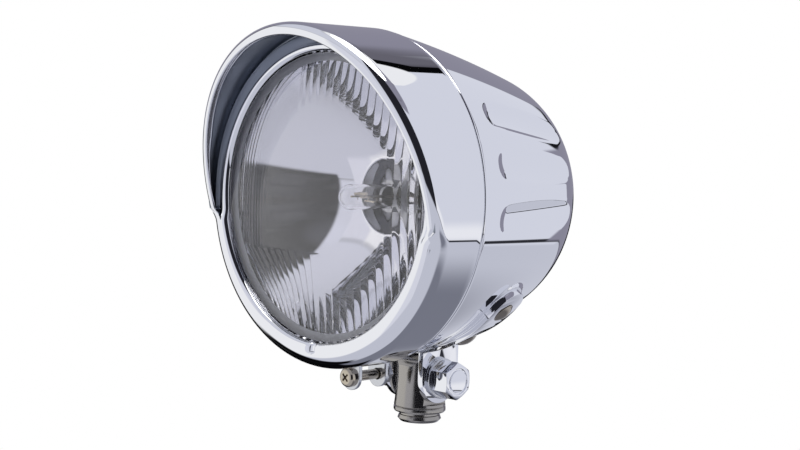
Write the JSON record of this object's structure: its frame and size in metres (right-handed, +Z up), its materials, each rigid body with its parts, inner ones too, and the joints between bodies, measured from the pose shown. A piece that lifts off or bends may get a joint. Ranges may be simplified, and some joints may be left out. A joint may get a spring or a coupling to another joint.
{
  "type": "motorcycle headlight",
  "caption": "Round chrome bullet headlight with a visored trim ring, fluted lens and shell, and a bottom bracket that pivots on a threaded stem.",
  "frame": {"origin": "centre of the mouth of the threaded bore in the stem's foot", "axes": "+Z up along the stem, the lamp faces -Y, X is along the pivot bolt"},
  "size_m": [0.128, 0.1335, 0.154],
  "materials": {
    "chrome_plate": "mirror",
    "zinc_steel": "satin",
    "lens_glass": "clear, fluted",
    "black_rubber": "matte",
    "spring_steel": "satin",
    "mirror_coat": "mirror",
    "bulb_glass": "clear",
    "tungsten": "satin",
    "brass_base": "satin",
    "nickel_screw": "satin, warm",
    "polished_steel": "polished"
  },
  "bodies": {
    "stem": {"stem": "polished_steel"},
    "lamp": {"trim_ring": "chrome_plate", "rim_tab": "zinc_steel", "lens": "lens_glass", "lens_seal": "black_rubber", "retaining_clips": "spring_steel", "reflector": "mirror_coat", "bulb_seat": "zinc_steel", "bulb_glass": "bulb_glass", "filament_frame": "tungsten", "bulb_base": "brass_base", "bulb_contacts": "zinc_steel", "bulb_clip": "spring_steel", "bulb_boot": "black_rubber", "shell": "chrome_plate", "shell_tab": "zinc_steel", "rim_screw": "nickel_screw", "rim_nut": "zinc_steel", "mounting_bracket": "chrome_plate", "bracket_rivets": "nickel_screw", "pivot_bolt": "chrome_plate", "pivot_washers": "zinc_steel", "lock_washer": "spring_steel", "pivot_nut": "zinc_steel", "wire_grommet": "black_rubber"}
  },
  "joints": [
    {"name": "aim_tilt", "type": "hinge", "parent": "stem", "child": "lamp", "pos_m": [0, 0, 0.0185], "axis": [1, 0, 0], "range_deg": [-12, 15]}
  ]
}
